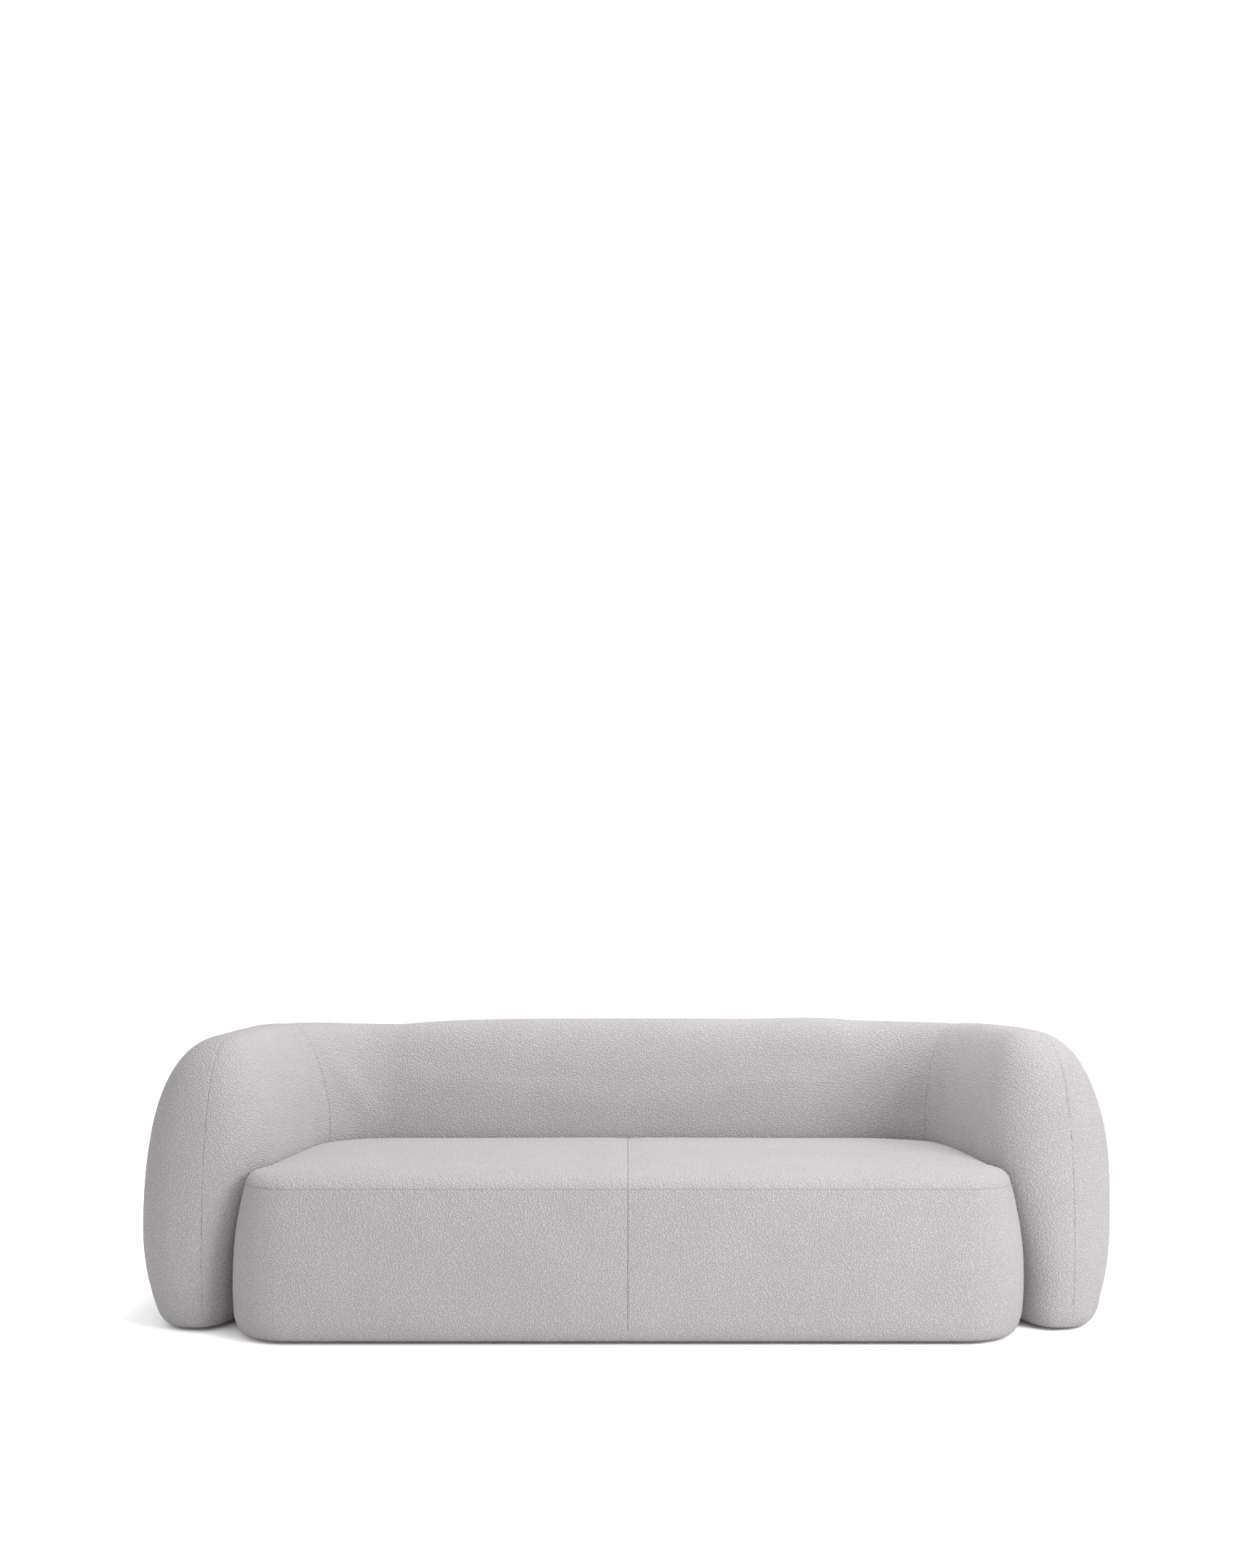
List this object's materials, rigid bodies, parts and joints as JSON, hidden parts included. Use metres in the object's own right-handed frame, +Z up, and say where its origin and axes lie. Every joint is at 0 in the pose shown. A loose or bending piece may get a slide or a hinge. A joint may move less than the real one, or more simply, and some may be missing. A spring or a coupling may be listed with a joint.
{
  "type": "curved sofa",
  "caption": "Low curved sofa in looped cloth: one rounded surround of back and arms wraps a deep plump seat block that stands forward of the arms.",
  "frame": {"origin": "centre of the bounding box on the floor, under the middle of the sofa", "axes": "+X along the length, to the viewer's right of the sofa seen from the front; +Y towards the back; +Z up"},
  "size_m": [2.4398, 1.1099, 0.724],
  "materials": {
    "boucle": "looped light warm-grey boucle upholstery cloth",
    "foam": "open-cell polyurethane foam",
    "topper_foam": "softer open-cell polyurethane foam",
    "plywood": "sanded, uncoated",
    "pine": "planed, uncoated",
    "webbing": "woven elastic webbing",
    "glide_plastic": "moulded, matt",
    "nonwoven": "spunbond lining cloth",
    "plate_steel": "zinc plated"
  },
  "bodies": {
    "root": {"arm_cover_inner_left": "boucle", "arm_cover_inner_right": "boucle", "arm_cover_outer_left": "boucle", "arm_cover_outer_right": "boucle", "back_cover_inner": "boucle", "back_cover_outer": "boucle", "seat_cover_top_left": "boucle", "seat_cover_top_right": "boucle", "seat_cover_boxing_left": "boucle", "seat_cover_boxing_right": "boucle", "arm_foam_left": "foam", "arm_foam_right": "foam", "corner_foam_left": "foam", "corner_foam_right": "foam", "back_foam": "foam", "seat_foam_core": "foam", "seat_foam_topper": "topper_foam", "lining_board_inner": "plywood", "lining_board_outer": "plywood", "seat_base_board": "plywood", "base_board_left": "plywood", "base_board_back": "plywood", "base_board_right": "plywood", "top_rail_left": "plywood", "top_rail_back": "plywood", "top_rail_right": "plywood", "rib_back_middle": "plywood", "rib_arm_front_left": "plywood", "rib_arm_front_right": "plywood", "rib_arm_rear_left": "plywood", "rib_arm_rear_right": "plywood", "rib_corner_left": "plywood", "rib_corner_right": "plywood", "rib_back_left": "plywood", "rib_back_right": "plywood", "seat_rail_front": "pine", "seat_rail_back": "pine", "seat_rail_left": "pine", "seat_rail_right": "pine", "seat_rail_middle": "pine", "seat_strap_left_1": "webbing", "seat_strap_left_2": "webbing", "seat_strap_left_3": "webbing", "seat_strap_right_1": "webbing", "seat_strap_right_2": "webbing", "seat_strap_right_3": "webbing", "glide_back": "glide_plastic", "glide_arm_left": "glide_plastic", "glide_arm_right": "glide_plastic", "glide_corner_left": "glide_plastic", "glide_corner_right": "glide_plastic", "glide_seat_front_left": "glide_plastic", "glide_seat_front_right": "glide_plastic", "glide_seat_rear_left": "glide_plastic", "glide_seat_rear_right": "glide_plastic", "dust_cover_surround": "nonwoven", "dust_cover_seat": "nonwoven", "joining_plate_left": "plate_steel", "joining_plate_right": "plate_steel"}
  },
  "joints": []
}
